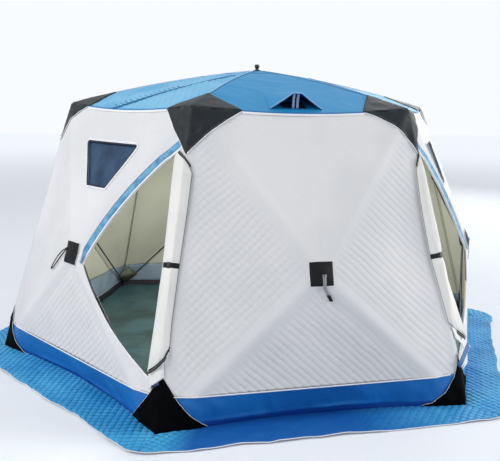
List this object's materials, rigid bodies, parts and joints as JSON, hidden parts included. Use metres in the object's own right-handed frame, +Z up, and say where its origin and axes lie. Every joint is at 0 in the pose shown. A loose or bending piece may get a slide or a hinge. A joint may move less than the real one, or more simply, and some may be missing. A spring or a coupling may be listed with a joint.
{
  "type": "ice fishing shelter",
  "caption": "Six-sided pop-up fabric hut for fishing on ice: quilted walls pushed out by pole hubs, shallow roof, ground skirt, two side doors rolled open.",
  "frame": {"origin": "centre of the floor, on the ground", "axes": "+Z up, -Y out of the plain front wall, +X to the right as seen from the front, through two opposite wall corners"},
  "size_m": [4.024, 3.525, 1.9833],
  "materials": {
    "wall_fabric": "light grey quilted polyester oxford, diamond pattern",
    "roof_fabric": "mid blue quilted polyester oxford",
    "band_fabric": "royal blue coated polyester, slightly wrinkled",
    "skirt_fabric": "blue quilted polyester snow skirt",
    "flap_fabric": "off-white rolled door fabric with a black zip tape",
    "trim_fabric": "light blue tape with a white edge",
    "patch_fabric": "black coated reinforcement cloth",
    "webbing": "woven webbing",
    "window_film": "tinted flexible film",
    "window_edging": "black cloth frame with a white stitched edge",
    "mesh_cloth": "dark insect mesh",
    "mat_cloth": "dark green waterproof floor cloth",
    "hub_plastic": "moulded black nylon",
    "fibreglass": "solid fibreglass rod, black"
  },
  "bodies": {
    "root": {"front_wall": "wall_fabric", "front_band": "band_fabric", "front_skirt": "skirt_fabric", "front_roof": "roof_fabric", "right_wall": "wall_fabric", "right_band": "band_fabric", "right_skirt": "skirt_fabric", "right_roof": "roof_fabric", "back_right_wall": "wall_fabric", "back_right_band": "band_fabric", "back_right_skirt": "skirt_fabric", "back_right_roof": "roof_fabric", "back_wall": "wall_fabric", "back_band": "band_fabric", "back_skirt": "skirt_fabric", "back_roof": "roof_fabric", "back_left_wall": "wall_fabric", "back_left_band": "band_fabric", "back_left_skirt": "skirt_fabric", "back_left_roof": "roof_fabric", "left_wall": "wall_fabric", "left_band": "band_fabric", "left_skirt": "skirt_fabric", "left_roof": "roof_fabric", "window_panes": "window_film", "window_borders": "window_edging", "left_door_flap": "flap_fabric", "right_door_flap": "flap_fabric", "door_trims": "trim_fabric", "door_ties": "webbing", "wall_hubs": "hub_plastic", "roof_hub": "hub_plastic", "corner_sockets": "hub_plastic", "wall_rods": "fibreglass", "roof_rods": "fibreglass", "hub_patches": "patch_fabric", "roof_cap": "hub_plastic", "vent_hood": "roof_fabric", "floor_mat": "mat_cloth", "eave_corner_patches": "patch_fabric", "base_corner_patches": "patch_fabric", "pull_straps": "webbing", "vent_mesh": "mesh_cloth", "vent_struts": "trim_fabric"}
  },
  "joints": []
}
